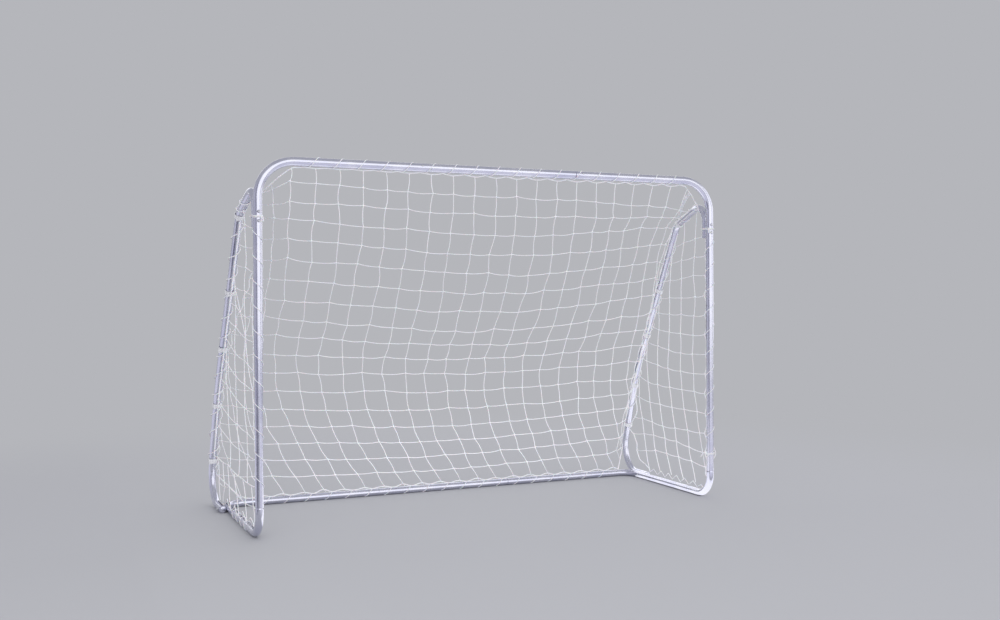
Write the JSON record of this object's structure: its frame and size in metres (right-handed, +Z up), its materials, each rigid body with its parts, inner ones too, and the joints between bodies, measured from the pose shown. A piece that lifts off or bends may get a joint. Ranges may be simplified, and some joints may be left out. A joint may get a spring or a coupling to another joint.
{
  "type": "soccer goal",
  "caption": "Free-standing tubular soccer goal with plugged and pinned steel tubes, bent side stays and a white net laced round the posts and crossbar.",
  "frame": {"origin": "centre of the bounding box on the ground", "axes": "+X along the crossbar, +Y from the mouth towards the back, +Z up"},
  "size_m": [2.2336, 0.9044, 1.505],
  "materials": {
    "zinc_tube": "bright zinc plate, satin",
    "plated_fastener": "bright zinc plate",
    "plated_pin": "polished plate",
    "spring_steel": "blued spring strip",
    "net_twine": "knotted twine",
    "lacing_cord": "braided cord",
    "hook_loop_tape": "woven hook-and-loop tape"
  },
  "bodies": {
    "frame": {"crossbar_middle": "zinc_tube", "corner_left": "zinc_tube", "corner_right": "zinc_tube", "post_left": "zinc_tube", "post_right": "zinc_tube", "base_left": "zinc_tube", "base_right": "zinc_tube", "rear_bar_middle": "zinc_tube", "stay_upper_left": "zinc_tube", "stay_upper_right": "zinc_tube", "stay_lower_left": "zinc_tube", "stay_lower_right": "zinc_tube", "stay_bolts": "plated_fastener", "stay_washers": "plated_fastener", "stay_nuts": "plated_fastener", "base_bolts": "plated_fastener", "base_washers": "plated_fastener", "base_nuts": "plated_fastener", "snap_springs": "spring_steel", "net_roof": "net_twine", "net_back_upper": "net_twine", "net_back_lower": "net_twine", "net_skirt": "net_twine", "net_left": "net_twine", "net_right": "net_twine", "lace_crossbar": "lacing_cord", "lace_post_left": "lacing_cord", "lace_post_right": "lacing_cord", "straps_left": "hook_loop_tape", "straps_right": "hook_loop_tape", "post_ties": "hook_loop_tape"},
    "crossbar_left_button": {"button_crossbar_left": "plated_pin"},
    "crossbar_right_button": {"button_crossbar_right": "plated_pin"},
    "post_left_button": {"button_post_left": "plated_pin"},
    "post_right_button": {"button_post_right": "plated_pin"},
    "foot_left_button": {"button_foot_left": "plated_pin"},
    "foot_right_button": {"button_foot_right": "plated_pin"},
    "rear_left_button": {"button_rear_left": "plated_pin"},
    "rear_right_button": {"button_rear_right": "plated_pin"},
    "stay_left_button": {"button_stay_left": "plated_pin"},
    "stay_right_button": {"button_stay_right": "plated_pin"}
  },
  "joints": [
    {"name": "press_crossbar_left", "type": "slide", "parent": "frame", "child": "crossbar_left_button", "axis": [0, 0.9397, -0.342], "range_m": [0, 0.005], "stiffness_N_per_m": 800},
    {"name": "press_crossbar_right", "type": "slide", "parent": "frame", "child": "crossbar_right_button", "axis": [0, 0.9397, -0.342], "range_m": [0, 0.005], "stiffness_N_per_m": 800},
    {"name": "press_post_left", "type": "slide", "parent": "frame", "child": "post_left_button", "axis": [0, -1, 0], "range_m": [0, 0.005], "stiffness_N_per_m": 800},
    {"name": "press_post_right", "type": "slide", "parent": "frame", "child": "post_right_button", "axis": [0, -1, 0], "range_m": [0, 0.005], "stiffness_N_per_m": 800},
    {"name": "press_foot_left", "type": "slide", "parent": "frame", "child": "foot_left_button", "axis": [0, -1, 0], "range_m": [0, 0.005], "stiffness_N_per_m": 800},
    {"name": "press_foot_right", "type": "slide", "parent": "frame", "child": "foot_right_button", "axis": [0, -1, 0], "range_m": [0, 0.005], "stiffness_N_per_m": 800},
    {"name": "press_rear_left", "type": "slide", "parent": "frame", "child": "rear_left_button", "axis": [0, -1, 0], "range_m": [0, 0.005], "stiffness_N_per_m": 800},
    {"name": "press_rear_right", "type": "slide", "parent": "frame", "child": "rear_right_button", "axis": [0, -1, 0], "range_m": [0, 0.005], "stiffness_N_per_m": 800},
    {"name": "press_stay_left", "type": "slide", "parent": "frame", "child": "stay_left_button", "axis": [0.052, -0.8646, -0.4998], "range_m": [0, 0.005], "stiffness_N_per_m": 800},
    {"name": "press_stay_right", "type": "slide", "parent": "frame", "child": "stay_right_button", "axis": [-0.052, -0.8646, -0.4998], "range_m": [0, 0.005], "stiffness_N_per_m": 800}
  ]
}
